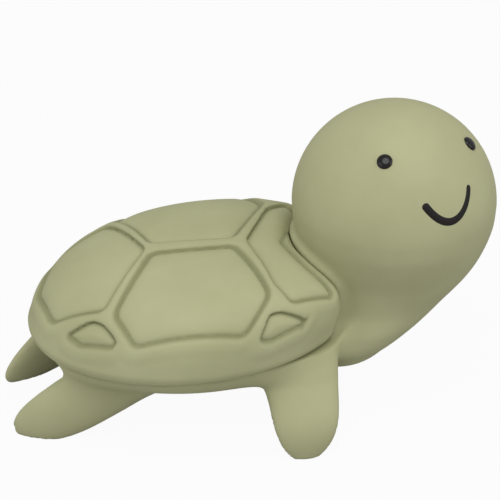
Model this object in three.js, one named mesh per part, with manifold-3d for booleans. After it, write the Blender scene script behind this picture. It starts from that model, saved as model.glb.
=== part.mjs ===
// Hollow rubber turtle for the bath: a body skin with head and flippers, a domed carapace bonded on its rim,
// inlaid eyes and smile, and a loose rattle capsule with beads inside.
// Millimetres, +X from tail to neck, +Y to the turtle's left, +Z up, standing on its flipper tips.
import * as THREE from "three";
import { LoftGeometry } from "three/addons/geometries/LoftGeometry.js";
import { mergeVertices } from "three/addons/utils/BufferGeometryUtils.js";
import Module from "manifold-3d";

const wasm = await Module();
wasm.setup();

// Driving dimensions

// Rubber wall, the glue line between the mouldings, and the line round an inlay.
const skinWall = 2.6;
const bondGap = 0.3;
const inlayGap = 0.3;

// Carapace: half sizes at the rim, the rim's height over the table, and the dome with its crest set forward. The
// whole shell and its seat rise to the front by a slope, about a level set behind the middle.
const carapaceHalfLength = 40;
const carapaceHalfWidth = 33.2;
const rimHeight = 25;
const domeHeight = 17.4;
const domeLean = 6;
const domeFullness = 3;
const rimSlope = 0.049;
const slopeSetBack = 8;

// Brim below the rim, its flat seat, and the lip of the torso that locates inside it.
const brimDepth = 3.2;
const brimOverhang = 2.6;
const seatWidth = 3;
const lipHeight = 2;
const lipWall = 1.3;

// Grooves round the carapace plates, and the raised band left along the midline.
const grooveRadius = 1.3;
const grooveDepth = 0.7;
const cornerGrooveRadius = 0.9;
const bandWidth = 5.4;
const plateCornerRadius = 3;
const smallCornerRadius = 0.9;

// Torso below the seat.
const bellyHeight = 15;
const bellyHalfLength = 27;
const bellyHalfWidth = 20;

// Head ball: reach of its centre past the rim's front end, and its rise over the rim.
const headRadius = 25.2;
const headReach = 10;
const headRise = 24.3;

// Chest and neck as level sections: rise over the rim, reach past its front end, half length, half width.
const neckSections = [
  [-14.2, -5.5, 3, 4],
  [-13.4, -5, 7.5, 9.5],
  [-11.8, -4.4, 11.2, 15.2],
  [-8, -2.6, 14.3, 19],
  [-3, 1, 17, 20],
  [3, 5.2, 18.9, 20.3],
  [9, 8.5, 20.9, 21.4],
  [16, 10, 23.6, 23.6],
];

// Flippers: stations along the middle of one paddle, as distance forward of the rim's near end, distance outside
// its side, and share of the rim's height. The broad direction lies in the paddle's flat.
const frontFlipper = {
  end: 1,
  stations: [[-18.6, -17.2, 0.96], [-17.6, -7.7, 0.66], [-18, -0.4, 0.34], [-19, 2.2, 0]],
  broad: new THREE.Vector3(1, 0, 0.05),
  halfWidth: 8.4,
  halfThickness: 3.6,
};
const rearFlipper = {
  end: -1,
  stations: [[30, -20.2, 0.96], [17, -17.2, 0.66], [5.5, -18.2, 0.37], [-5.2, -21.7, 0.06]],
  broad: new THREE.Vector3(0.05, 0.18, -0.98),
  halfWidth: 7.4,
  halfThickness: 4.4,
};
const rootFlare = 1.55;
const footFlat = 0.6;

// Face, turned to the turtle's right: angles round and above the head's centre, in degrees.
const faceYaw = -67.3;
const eyeSpread = 45.2;
const eyeRise = 47;
const eyeTilt = 2.6;
const eyeRadius = 1.9;
const eyeDepth = 1;
const eyeCrown = 0.55;
const smileSpread = 17.3;
const smileEndRise = 26;
const smileLowRise = 11;
const smileHalfWidth = 1;
const smileHalfDepth = 0.65;
const smileProud = 0.2;

// Rattle: capsule halves snapped at a rebate, and the beads inside.
const capsuleRadius = 11;
const capsuleHeight = 17;
const capsuleWall = 1.2;
const capsuleEdge = 2.4;
const capsuleSetBack = 2;
const snapDepth = 1.6;
const snapGap = 0.15;
const beadRadius = 2.2;
const beadCount = 5;
const beadWallGap = 0.5;
const restGap = 0.3;

// Levels and centres that follow from the sizes above
const seatZ = rimHeight - brimDepth;
const torsoTopZ = seatZ - bondGap;
const mouthInset = brimOverhang + seatWidth;
const headCentre = new THREE.Vector3(carapaceHalfLength + headReach, 0, rimHeight + headRise);

const { degToRad, lerp } = THREE.MathUtils;
const power = (value, fullness) => Math.sign(value) * Math.abs(value) ** (2 / fullness);

// A closed geometry as a solid: vertices merged, collapsed triangles dropped.
function solidOf(geometry) {
  const bare = new THREE.BufferGeometry();
  bare.setAttribute("position", geometry.getAttribute("position"));
  bare.setIndex(geometry.index);
  const merged = mergeVertices(bare);
  const index = merged.index.array;
  const kept = [];
  for (let i = 0; i < index.length; i += 3) {
    const [a, b, c] = index.slice(i, i + 3);
    if (a !== b && b !== c && c !== a) kept.push(a, b, c);
  }
  const vertProperties = merged.getAttribute("position").array;
  return new wasm.Manifold(new wasm.Mesh({ numProp: 3, vertProperties, triVerts: new Uint32Array(kept) }));
}

// A solid back as a geometry.
function geometryOf(solid) {
  const { vertProperties, triVerts } = solid.getMesh();
  const geometry = new THREE.BufferGeometry();
  geometry.setAttribute("position", new THREE.BufferAttribute(vertProperties, 3));
  geometry.setIndex(new THREE.BufferAttribute(triVerts, 1));
  geometry.computeVertexNormals();
  return geometry;
}

const loft = (rings) => solidOf(new LoftGeometry(rings, { capStart: true, capEnd: true }));
const revolve = (profile, segments) => {
  const points = profile.map(([radius, height]) => new THREE.Vector2(radius, height));
  return new THREE.LatheGeometry(points, segments);
};

// Level oval ring, counter-clockwise from above.
function oval(halfLength, halfWidth, z, x = 0, steps = 48) {
  return Array.from({ length: steps }, (_, i) => {
    const angle = (2 * Math.PI * i) / steps;
    return new THREE.Vector3(x + halfLength * Math.cos(angle), halfWidth * Math.sin(angle), z);
  });
}

// Share of the dome's outline and of its height at an angle above the rim.
const domeReach = (angle) => power(Math.cos(angle), domeFullness);
const domeRise = (angle) => power(Math.sin(angle), domeFullness);

// Dome standing on the rings of its skirt.
function dome(inset, height, skirt, rows, steps) {
  const rings = skirt.map(([extra, z]) => {
    const cut = inset + extra;
    return oval(carapaceHalfLength - cut, carapaceHalfWidth - cut, z, 0, steps);
  });
  for (let k = 0; k < rows; k++) {
    const angle = (Math.PI / 2) * (k / (rows - 0.5));
    const reach = domeReach(angle);
    const rise = domeRise(angle);
    const halfLength = (carapaceHalfLength - inset) * reach;
    const halfWidth = (carapaceHalfWidth - inset) * reach;
    rings.push(oval(halfLength, halfWidth, rimHeight + height * rise, domeLean * rise, steps));
  }
  return loft(rings);
}

// Height of the dome's outside above a place in the plan, found by halving the angle above the rim.
function domeSurfaceZ(x, y) {
  let low = 0;
  let high = Math.PI / 2;
  for (let k = 0; k < 40; k++) {
    const angle = (low + high) / 2;
    const along = (x - domeLean * domeRise(angle)) / carapaceHalfLength;
    const spread = Math.hypot(along, y / carapaceHalfWidth);
    if (spread < domeReach(angle)) low = angle;
    else high = angle;
  }
  return rimHeight + domeHeight * domeRise(low);
}

// Point at a height over the dome's outside, along its normal.
function overDome(x, y, height) {
  const step = 0.05;
  const z = domeSurfaceZ(x, y);
  const slopeX = (domeSurfaceZ(x + step, y) - domeSurfaceZ(x - step, y)) / (2 * step);
  const slopeY = (domeSurfaceZ(x, y + step) - domeSurfaceZ(x, y - step)) / (2 * step);
  const normal = new THREE.Vector3(-slopeX, -slopeY, 1).normalize();
  return new THREE.Vector3(x, y, z).addScaledVector(normal, height);
}

// Plan outline through corners, each rounded.
function roundedOutline(corners, radius) {
  const outline = new THREE.Path();
  corners.forEach((corner, i) => {
    const before = corners.at(i - 1);
    const after = corners[(i + 1) % corners.length];
    const from = corner.clone().add(before.clone().sub(corner).setLength(radius));
    const to = corner.clone().add(after.clone().sub(corner).setLength(radius));
    if (i === 0) outline.moveTo(from.x, from.y);
    else outline.lineTo(from.x, from.y);
    outline.quadraticCurveTo(corner.x, corner.y, to.x, to.y);
  });
  return outline.closePath();
}

// Round-bottomed groove along a plate's outline on the dome. Corners are shares of the rim's half sizes.
function plateGroove(corners, { steps, shift = 0, rounding = plateCornerRadius, radius = grooveRadius }) {
  const plan = corners.map(([along, across]) => {
    return new THREE.Vector2(along * carapaceHalfLength, across * carapaceHalfWidth + shift);
  });
  const outline = roundedOutline(plan, rounding).getSpacedPoints(steps).slice(0, -1);
  const lifted = outline.map((p) => overDome(p.x, p.y, radius - grooveDepth));
  const path = new THREE.CatmullRomCurve3(lifted, true);
  return solidOf(new THREE.TubeGeometry(path, steps, radius, 6, true));
}

// Plates: flank hexagons either side of the midline band, chevrons before and behind, corner plates at the brim.
function plateGrooves() {
  const flank = [[-0.25, 0], [0.29, 0], [0.387, -0.64], [0.2, -0.87], [-0.44, -0.755], [-0.533, -0.53]];
  const rearCorner = [[-0.81, -0.49], [-0.66, -0.57], [-0.6, -0.63], [-0.545, -0.76], [-0.59, -0.76]];
  const frontCorner = [[0.285, -0.947], [0.385, -0.845], [0.46, -0.829], [0.58, -0.823], [0.345, -0.944]];
  const frontHalf = [[0.779, -0.64], [0.528, -0.758]];
  const rearHalf = [[-0.585, -0.53], [-0.878, -0.32]];
  const mirrored = (corners) => corners.map(([along, across]) => [along, -across]);
  const front = [[0.58, 0], ...frontHalf, [0.36, 0], ...mirrored(frontHalf).reverse()];
  const rear = [[-0.29, 0], ...rearHalf, [-0.92, 0], ...mirrored(rearHalf).reverse()];
  const small = { steps: 18, rounding: smallCornerRadius, radius: cornerGrooveRadius };
  return [
    plateGroove(flank, { steps: 36, shift: -bandWidth / 2 }),
    plateGroove(mirrored(flank), { steps: 36, shift: bandWidth / 2 }),
    plateGroove(front, { steps: 44 }),
    plateGroove(rear, { steps: 36 }),
    ...[rearCorner, frontCorner].flatMap((plate) => [plateGroove(plate, small), plateGroove(mirrored(plate), small)]),
  ];
}

// Head, neck and chest in one, grown or shrunk all round by an offset.
function headAndNeck(offset, rows, steps) {
  const drop = headRise - neckSections[0][0];
  const stretch = (drop + offset) / drop;
  const rings = neckSections.map(([rise, reach, halfLength, halfWidth]) => {
    const z = headCentre.z - (headRise - rise) * stretch;
    return oval(halfLength + offset, halfWidth + offset, z, carapaceHalfLength + reach, steps);
  });
  const radius = headRadius + offset;
  const first = Math.asin((neckSections.at(-1)[0] - headRise) / headRadius);
  for (let k = 1; k <= rows; k++) {
    const angle = lerp(first, Math.PI / 2, k / (rows + 0.4));
    const across = radius * Math.cos(angle);
    rings.push(oval(across, across, headCentre.z + radius * Math.sin(angle), headCentre.x, steps));
  }
  return loft(rings);
}

// Slope a solid up to the front, none at its floor and in full from the seat up.
function sloped(solid, floor = bellyHeight) {
  return solid.warp((point) => {
    const share = (point[2] - floor) / (torsoTopZ - floor);
    point[2] += rimSlope * (point[0] + slopeSetBack) * THREE.MathUtils.clamp(share, 0, 1);
  });
}

// Bowl of the torso, from the flat belly to the seat, with its mouth drawn on up to an end level.
function bowl(wall, topInset, endZ, rows, steps) {
  const floor = bellyHeight + wall;
  const topLength = carapaceHalfLength - topInset;
  const topWidth = carapaceHalfWidth - topInset;
  const rings = [];
  for (let k = 0; k <= rows; k++) {
    const angle = (Math.PI / 2) * (k / rows);
    const spread = Math.sin(angle);
    const halfLength = lerp(bellyHalfLength - wall, topLength, spread);
    const halfWidth = lerp(bellyHalfWidth - wall, topWidth, spread);
    rings.push(oval(halfLength, halfWidth, lerp(floor, torsoTopZ, 1 - Math.cos(angle)), 0, steps));
  }
  if (endZ > torsoTopZ) rings.push(oval(topLength, topWidth, endZ, 0, steps));
  return loft(rings);
}

// Paddle flipper on one side: soft lens sections along its stations, flared at the root, round at the tip.
function flipper({ end, stations, broad, halfWidth, halfThickness }, side) {
  const points = stations.map(([along, outside, share]) => {
    const z = share * rimHeight - footFlat;
    return new THREE.Vector3(end * carapaceHalfLength + along, carapaceHalfWidth + outside, z);
  });
  const spine = new THREE.CatmullRomCurve3(points);
  const rows = 12;
  const steps = 16;
  const rings = [];
  for (let k = 0; k <= rows; k++) {
    const t = k / rows;
    const along = spine.getTangent(t);
    const across = broad.clone().projectOnPlane(along).normalize();
    const over = new THREE.Vector3().crossVectors(along, across);
    const tip = Math.sqrt(Math.max(0.03, 1 - Math.max(0, (t - 0.46) / 0.54) ** 2.4));
    const flare = 1 + (rootFlare - 1) * Math.max(0, 1 - t / 0.55) ** 2;
    const thin = 1 - 0.35 * t;
    const ring = Array.from({ length: steps }, (_, i) => {
      const angle = (2 * Math.PI * i) / steps;
      const point = spine.getPoint(t);
      point.addScaledVector(across, halfWidth * tip * flare * power(Math.cos(angle), 2.3));
      point.addScaledVector(over, halfThickness * tip * flare * thin * power(Math.sin(angle), 2.3));
      point.y *= side;
      return point;
    });
    rings.push(side < 0 ? ring.reverse() : ring);
  }
  return loft(rings);
}

// A block reaching up or down from a level, wider than the turtle.
function halfSpace(z, up) {
  const reach = 4 * (carapaceHalfLength + headRadius);
  const block = new THREE.BoxGeometry(reach, reach, reach);
  block.translate(0, 0, z + (up ? reach / 2 : -reach / 2));
  return solidOf(block);
}

// Direction from the head's centre, by angles round from the face's middle and above level.
function faceDirection(aside, rise) {
  const yaw = degToRad(faceYaw + aside);
  const up = degToRad(rise);
  return new THREE.Vector3(Math.cos(up) * Math.cos(yaw), Math.cos(up) * Math.sin(yaw), Math.sin(up));
}

// Smile: an oval bead of inlay bent along the head, grown by the gap for its groove.
function smile(grow) {
  const rows = 16;
  const steps = 8;
  const place = (s) => {
    const direction = faceDirection(smileSpread * s, lerp(smileLowRise, smileEndRise, s * s));
    return direction.multiplyScalar(headRadius + smileProud - smileHalfDepth).add(headCentre);
  };
  const overrun = 1 + grow / (headRadius * degToRad(smileSpread));
  const rings = [];
  for (let k = 0; k <= rows; k++) {
    const share = (2 * k) / rows - 1;
    const s = share * overrun;
    const centre = place(s);
    const along = place(s + 0.01).sub(place(s - 0.01)).normalize();
    const out = centre.clone().sub(headCentre).projectOnPlane(along).normalize();
    const across = new THREE.Vector3().crossVectors(out, along);
    const round = Math.sqrt(1 - Math.max(0, Math.abs(share) - 0.85) / 0.16);
    rings.push(Array.from({ length: steps }, (_, i) => {
      const angle = (2 * Math.PI * i) / steps;
      const point = centre.clone();
      point.addScaledVector(across, (smileHalfWidth * round + grow) * Math.cos(angle));
      return point.addScaledVector(out, (smileHalfDepth * round + grow) * Math.sin(angle));
    }));
  }
  return loft(rings);
}

// Eye lens and its socket, standing along Y with the head's surface at zero.
function eyeLens() {
  const crown = Array.from({ length: 5 }, (_, k) => {
    const angle = (Math.PI / 2) * (k / 4);
    return [eyeRadius * Math.cos(angle), eyeCrown * Math.sin(angle)];
  });
  return revolve([[0, -eyeDepth], [eyeRadius, -eyeDepth], ...crown], 16);
}
function eyeSocket() {
  const radius = eyeRadius + inlayGap;
  const depth = eyeDepth + inlayGap;
  return revolve([[0, -depth], [radius, -depth], [radius, eyeCrown + depth], [0, eyeCrown + depth]], 16);
}
const upright = new THREE.Vector3(0, 1, 0);
const eyeDirections = {
  eye_right: faceDirection(-eyeSpread, eyeRise + eyeTilt),
  eye_left: faceDirection(eyeSpread, eyeRise - eyeTilt),
};

function bodySkin() {
  const aboveSeat = halfSpace(torsoTopZ, true);
  let skin = bowl(0, brimOverhang + bondGap, torsoTopZ, 6, 48);
  for (const shape of [frontFlipper, rearFlipper]) {
    for (const side of [1, -1]) skin = skin.add(flipper(shape, side).subtract(aboveSeat));
  }
  const lipInset = mouthInset + bondGap;
  const lip = [torsoTopZ - lipHeight / 2, seatZ + lipHeight].map((z) => {
    return oval(carapaceHalfLength - lipInset, carapaceHalfWidth - lipInset, z);
  });
  skin = sloped(skin.add(loft(lip))).add(headAndNeck(0, 12, 44));
  const hollow = bowl(skinWall, lipInset + lipWall, seatZ + 2 * lipHeight, 4, 32);
  skin = skin.subtract(sloped(hollow, bellyHeight + skinWall));
  skin = skin.subtract(headAndNeck(-skinWall, 8, 24));
  skin = skin.subtract(halfSpace(0, false));
  for (const direction of Object.values(eyeDirections)) {
    const socket = eyeSocket();
    socket.applyQuaternion(new THREE.Quaternion().setFromUnitVectors(upright, direction));
    socket.translate(...direction.clone().multiplyScalar(headRadius).add(headCentre).toArray());
    skin = skin.subtract(solidOf(socket));
  }
  return skin.subtract(smile(inlayGap));
}

function carapace() {
  const turn = [0, 0.4, 0.75].map((share) => {
    const angle = (Math.PI / 2) * share;
    return [brimOverhang * (1 - Math.sin(angle)), seatZ + brimDepth * (1 - Math.cos(angle))];
  });
  let shell = dome(0, domeHeight, turn, 11, 48);
  const mouth = [[0, seatZ - brimDepth]];
  shell = shell.subtract(dome(mouthInset, domeHeight - skinWall, mouth, 6, 28));
  for (const groove of plateGrooves()) shell = shell.subtract(groove);
  return sloped(shell).subtract(headAndNeck(bondGap, 12, 44));
}

// Capsule halves: a cup with a spigot on its rim and a lid with the matching rebate.
const splitHeight = capsuleHeight / 2;
const spigotRadius = capsuleRadius - capsuleWall / 2;
const innerRadius = capsuleRadius - capsuleWall;
function capsuleBase() {
  return revolve([
    [0, 0], [capsuleRadius - capsuleEdge, 0], [capsuleRadius, capsuleEdge], [capsuleRadius, splitHeight],
    [spigotRadius - snapGap, splitHeight], [spigotRadius - snapGap, splitHeight + snapDepth],
    [innerRadius, splitHeight + snapDepth], [innerRadius, capsuleEdge], [innerRadius - capsuleEdge, capsuleWall],
    [0, capsuleWall],
  ], 24);
}
function capsuleCap() {
  const top = capsuleHeight;
  return revolve([
    [0, top - capsuleWall], [innerRadius - capsuleEdge, top - capsuleWall], [innerRadius, top - capsuleEdge],
    [innerRadius, splitHeight + snapDepth + snapGap], [spigotRadius, splitHeight + snapDepth + snapGap],
    [spigotRadius, splitHeight + snapGap], [capsuleRadius, splitHeight + snapGap],
    [capsuleRadius, top - capsuleEdge], [capsuleRadius - capsuleEdge, top], [0, top],
  ], 24);
}

const rubber = { color: 0xaeaf8c, roughness: 0.7, metalness: 0 };
const gloss = { color: 0x1c1a1a, roughness: 0.12, metalness: 0 };
const satin = { color: 0x201d1c, roughness: 0.35, metalness: 0 };
const capsulePlastic = { color: 0xe4e1d6, roughness: 0.4, metalness: 0 };
const beadSteel = { color: 0xb9bab8, roughness: 0.25, metalness: 1 };

function piece(name, geometry, finish) {
  const mesh = new THREE.Mesh(geometry, new THREE.MeshStandardMaterial(finish));
  mesh.name = name;
  return mesh;
}

const turtle = new THREE.Group();
turtle.add(piece("body_skin", geometryOf(bodySkin()), rubber));
turtle.add(piece("carapace", geometryOf(carapace()), rubber));
for (const [name, direction] of Object.entries(eyeDirections)) {
  const eye = piece(name, geometryOf(solidOf(eyeLens())), gloss);
  eye.quaternion.setFromUnitVectors(upright, direction);
  eye.position.copy(direction).multiplyScalar(headRadius).add(headCentre);
  turtle.add(eye);
}
turtle.add(piece("mouth", geometryOf(smile(0)), satin));

const rattle = new THREE.Group();
rattle.position.set(-capsuleSetBack, 0, bellyHeight + skinWall + restGap);
for (const [name, profile] of [["rattle_capsule_base", capsuleBase()], ["rattle_capsule_cap", capsuleCap()]]) {
  profile.rotateX(Math.PI / 2);
  rattle.add(piece(name, geometryOf(solidOf(profile)), capsulePlastic));
}
const beadRing = innerRadius - Math.max(capsuleEdge, beadRadius) - beadWallGap;
for (let i = 0; i < beadCount; i++) {
  const angle = (2 * Math.PI * i) / beadCount;
  const bead = piece(`rattle_bead_${i + 1}`, new THREE.SphereGeometry(beadRadius, 10, 6), beadSteel);
  bead.position.set(beadRing * Math.cos(angle), beadRing * Math.sin(angle), capsuleWall + restGap + beadRadius);
  rattle.add(bead);
}
turtle.add(rattle);

// Origin under the middle of the turtle's length.
const reach = new THREE.Box3().setFromObject(turtle);
turtle.position.x = -(reach.min.x + reach.max.x) / 2;

export default turtle;
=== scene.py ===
"""Sage rubber bath turtle: fine skin, plated shell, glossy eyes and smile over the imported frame."""
from __future__ import annotations

import logging
import math
from dataclasses import dataclass, field
from enum import Enum
from typing import Callable

import bpy
import numpy as np
from mathutils import Matrix, Vector

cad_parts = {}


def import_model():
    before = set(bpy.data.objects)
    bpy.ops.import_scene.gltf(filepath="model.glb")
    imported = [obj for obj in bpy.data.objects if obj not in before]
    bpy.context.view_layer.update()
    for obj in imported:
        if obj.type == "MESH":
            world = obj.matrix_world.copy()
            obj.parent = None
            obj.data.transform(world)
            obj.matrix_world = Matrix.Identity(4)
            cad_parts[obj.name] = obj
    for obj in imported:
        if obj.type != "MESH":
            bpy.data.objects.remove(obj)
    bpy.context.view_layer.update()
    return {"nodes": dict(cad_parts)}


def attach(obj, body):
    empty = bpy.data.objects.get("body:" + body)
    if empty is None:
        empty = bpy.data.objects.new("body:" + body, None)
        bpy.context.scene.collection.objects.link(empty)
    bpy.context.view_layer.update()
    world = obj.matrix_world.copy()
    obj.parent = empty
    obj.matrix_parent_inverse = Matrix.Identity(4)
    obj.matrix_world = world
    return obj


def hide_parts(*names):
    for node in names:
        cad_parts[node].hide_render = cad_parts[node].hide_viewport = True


LOG = logging.getLogger("turtle")

Array = np.ndarray
Field = Callable[[Array], Array]
Outline = tuple[tuple[float, float], ...]
Colour = tuple[float, float, float, float]

# Metres in a millimetre
MM = 0.001
# Mesh attribute that holds how close a vertex lies to a crease, the mask of the shade painted into the
# shell's creases
CREASE = "crease"
# Place of the torso's middle along X in the part's frame, in millimetres
FRAME_SHIFT = -14.667


class Side(Enum):
    """Side of the turtle, as the sign of Y."""

    LEFT = 1
    RIGHT = -1


def smooth_min(a: Array, b: Array, radius: float) -> Array:
    """Join two distance fields with a fillet.

    Args:
        a: First field.
        b: Second field.
        radius: Width of the blend in millimetres.

    Returns:
        The joined field.
    """
    share = np.clip(0.5 + 0.5 * (b - a) / radius, 0.0, 1.0)
    return b * (1 - share) + a * share - radius * share * (1 - share)


def smooth_max(a: Array, b: Array, radius: float) -> Array:
    """Keep what lies in both fields, with a rounded edge of the given width in millimetres."""
    return -smooth_min(-a, -b, radius)


def smooth_step(value: Array) -> Array:
    """Ease from 0 to 1 over the unit interval."""
    t = np.clip(value, 0.0, 1.0)
    return t * t * (3 - 2 * t)


def oval_distance(x: Array, y: Array, half_x: Array | float, half_y: Array | float) -> Array:
    """Distance to an oval in its plane, close to true near the edge.

    Args:
        x: First coordinate from the oval's middle.
        y: Second coordinate from the oval's middle.
        half_x: Half size along x.
        half_y: Half size along y.

    Returns:
        Signed distance, negative inside.
    """
    reach = np.hypot(x / half_x, y / half_y)
    slope = np.hypot(x / half_x**2, y / half_y**2)
    return reach * (reach - 1) / np.maximum(slope, 1e-6)


@dataclass(frozen=True)
class SurfaceNet:
    """Mesh of a distance field on a grid.

    Attributes:
        low: Lowest corner of the grid in millimetres.
        high: Highest corner of the grid.
        step: Size of a cell.
    """

    low: tuple[float, float, float]
    high: tuple[float, float, float]
    step: float

    def sample(self, shape: Field) -> Array:
        """Evaluate a field on the grid, a level at a time.

        Args:
            shape: Field in millimetres, negative inside.

        Returns:
            Values at the grid's points.
        """
        axes = [np.arange(a, b + self.step, self.step) for a, b in zip(self.low, self.high)]
        x, y = np.meshgrid(axes[0], axes[1], indexing="ij")
        values = np.empty([len(a) for a in axes])
        for k, z in enumerate(axes[2]):
            points = np.stack([x.ravel(), y.ravel(), np.full(x.size, z)], -1)
            values[:, :, k] = shape(points).reshape(x.shape)
        return self.without_crumbs(values)

    def without_crumbs(self, values: Array) -> Array:
        """Turn lone grid points to the side of their neighbours, so that no crumbs or pinholes are left.

        Args:
            values: Field at the grid's points.

        Returns:
            The field with lone points turned.
        """
        inside = np.pad(values < 0, 1)
        within = sum(np.roll(inside, step, axis).astype(int) for axis in range(3) for step in (-1, 1))
        within = within[1:-1, 1:-1, 1:-1]
        crumb = (values < 0) & (within < 2)
        pinhole = (values >= 0) & (within > 4)
        slight = 0.1 * self.step
        return np.where(crumb, slight, np.where(pinhole, -slight, values))

    def vertices(self, values: Array, cells: Array) -> Array:
        """Place one vertex in each crossed cell, at the mean of its edges' crossings.

        Args:
            values: Field at the grid's points.
            cells: Lowest corner of each crossed cell, counted in steps.

        Returns:
            Places of the vertices in millimetres.
        """
        total = np.zeros((len(cells), 3))
        count = np.zeros(len(cells))
        for axis in range(3):
            for corner in np.ndindex(2, 2, 2):
                if corner[axis]:
                    continue
                start = np.array(corner)
                end = start + np.eye(3, dtype=int)[axis]
                first = values[tuple((cells + start).T)]
                last = values[tuple((cells + end).T)]
                crossed = (first < 0) != (last < 0)
                share = np.where(crossed, first / np.where(crossed, first - last, 1), 0)
                place = start + share[:, None] * (end - start)
                total += np.where(crossed[:, None], place, 0)
                count += crossed
        return np.array(self.low) + self.step * (cells + total / count[:, None])

    @staticmethod
    def quads(inside: Array, ids: Array) -> Array:
        """Join the vertices of the four cells round each crossed grid edge.

        Args:
            inside: Whether each grid point lies in the shape.
            ids: Number of the vertex in each cell.

        Returns:
            Faces of four vertices that face outward.
        """
        faces = []
        for axis in range(3):
            i, j = (axis + 1) % 3, (axis + 2) % 3
            ahead = [slice(None)] * 3
            ahead[axis] = slice(1, None)
            behind = [slice(None)] * 3
            behind[axis] = slice(None, -1)
            start, end = inside[tuple(behind)], inside[tuple(ahead)]
            edges = np.argwhere(start != end)
            limits = np.array(ids.shape)
            edges = edges[(edges[:, i] > 0) & (edges[:, j] > 0)]
            edges = edges[(edges[:, i] < limits[i]) & (edges[:, j] < limits[j])]
            step_i, step_j = np.eye(3, dtype=int)[i], np.eye(3, dtype=int)[j]
            corners = [edges - step_i - step_j, edges - step_j, edges, edges - step_i]
            quad = np.stack([ids[tuple(c.T)] for c in corners], -1)
            outward = start[tuple(edges.T)]
            faces.append(np.where(outward[:, None], quad, quad[:, ::-1]))
        return np.concatenate(faces)

    def build(self, name: str, shape: Field, passes: int = 3) -> bpy.types.Object:
        """Make a closed smooth mesh of a field.

        Args:
            name: Name of the new piece.
            shape: Field in millimetres, negative inside.
            passes: Times that the vertices are drawn onto the field.

        Returns:
            The new object, in metres in the part's frame.
        """
        values = self.sample(shape)
        inside = values < 0
        i, j, k = (count - 1 for count in inside.shape)
        filled = np.zeros((i, j, k), int)
        for a, b, c in np.ndindex(2, 2, 2):
            filled += inside[a : a + i, b : b + j, c : c + k]
        crossed = (filled > 0) & (filled < 8)
        ids = np.full(crossed.shape, -1)
        ids[crossed] = np.arange(crossed.sum())
        points = self.vertices(values, np.argwhere(crossed))
        for _ in range(passes):
            points -= self.pull(shape, points)
        return mesh_object(name, points, self.quads(inside, ids))

    def pull(self, shape: Field, points: Array) -> Array:
        """Give the step that takes each point onto the field's surface.

        Args:
            shape: Field in millimetres, negative inside.
            points: Places near the surface.

        Returns:
            Steps to take away from the points.
        """
        nudge = 0.05
        least_steep = 0.05
        longest = 0.6 * self.step
        slope = np.empty_like(points)
        for axis in range(3):
            offset = nudge * np.eye(3)[axis]
            slope[:, axis] = (shape(points + offset) - shape(points - offset)) / (2 * nudge)
        steep = np.maximum((slope**2).sum(1), least_steep)
        move = (shape(points) / steep)[:, None] * slope
        length = np.linalg.norm(move, axis=1, keepdims=True)
        return move * np.minimum(1, longest / np.maximum(length, 1e-9))


def mesh_object(name: str, points: Array, faces: Array) -> bpy.types.Object:
    """Make a smooth shaded object.

    Args:
        name: Name of the new piece.
        points: Places in millimetres from the torso's middle.
        faces: Corners of each face, all faces with as many.

    Returns:
        The new object, in metres in the part's frame.
    """
    mesh = bpy.data.meshes.new(name)
    corners = faces.shape[1]
    placed = (points + np.array([FRAME_SHIFT, 0, 0])) * MM
    mesh.vertices.add(len(placed))
    mesh.vertices.foreach_set("co", placed.ravel())
    mesh.loops.add(faces.size)
    mesh.loops.foreach_set("vertex_index", faces.ravel().astype(np.int32))
    mesh.polygons.add(len(faces))
    mesh.polygons.foreach_set("loop_start", np.arange(0, faces.size, corners, dtype=np.int32))
    mesh.polygons.foreach_set("use_smooth", np.ones(len(faces), bool))
    mesh.update(calc_edges=True)
    mesh.validate()
    return linked(name, mesh)


def linked(name: str, data: bpy.types.ID) -> bpy.types.Object:
    """Make an object of a mesh, light or camera and put it in the scene.

    Args:
        name: Name of the object.
        data: What it shows.

    Returns:
        The new object.
    """
    made = bpy.data.objects.new(name, data)
    bpy.context.scene.collection.objects.link(made)
    return made


@dataclass(frozen=True)
class Slope:
    """Rise of the shell and its seat to the front, none at the belly and in full from the seat up."""

    rate: float = 0.049
    set_back: float = 8.0
    belly: float = 15.0
    seat: float = 21.5

    def level(self, p: Array) -> Array:
        """Take places back to where they lie with the shell level.

        Args:
            p: Points in millimetres.

        Returns:
            Points with the rise taken out of their heights.
        """
        rise = self.rate * (p[:, 0] + self.set_back)
        depth = self.seat - self.belly
        z = p[:, 2]
        between = self.belly + (z - self.belly) * depth / (depth + rise)
        levelled = np.where(z > self.seat + rise, z - rise, np.where(z < self.belly, z, between))
        return np.column_stack([p[:, :2], levelled])


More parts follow.
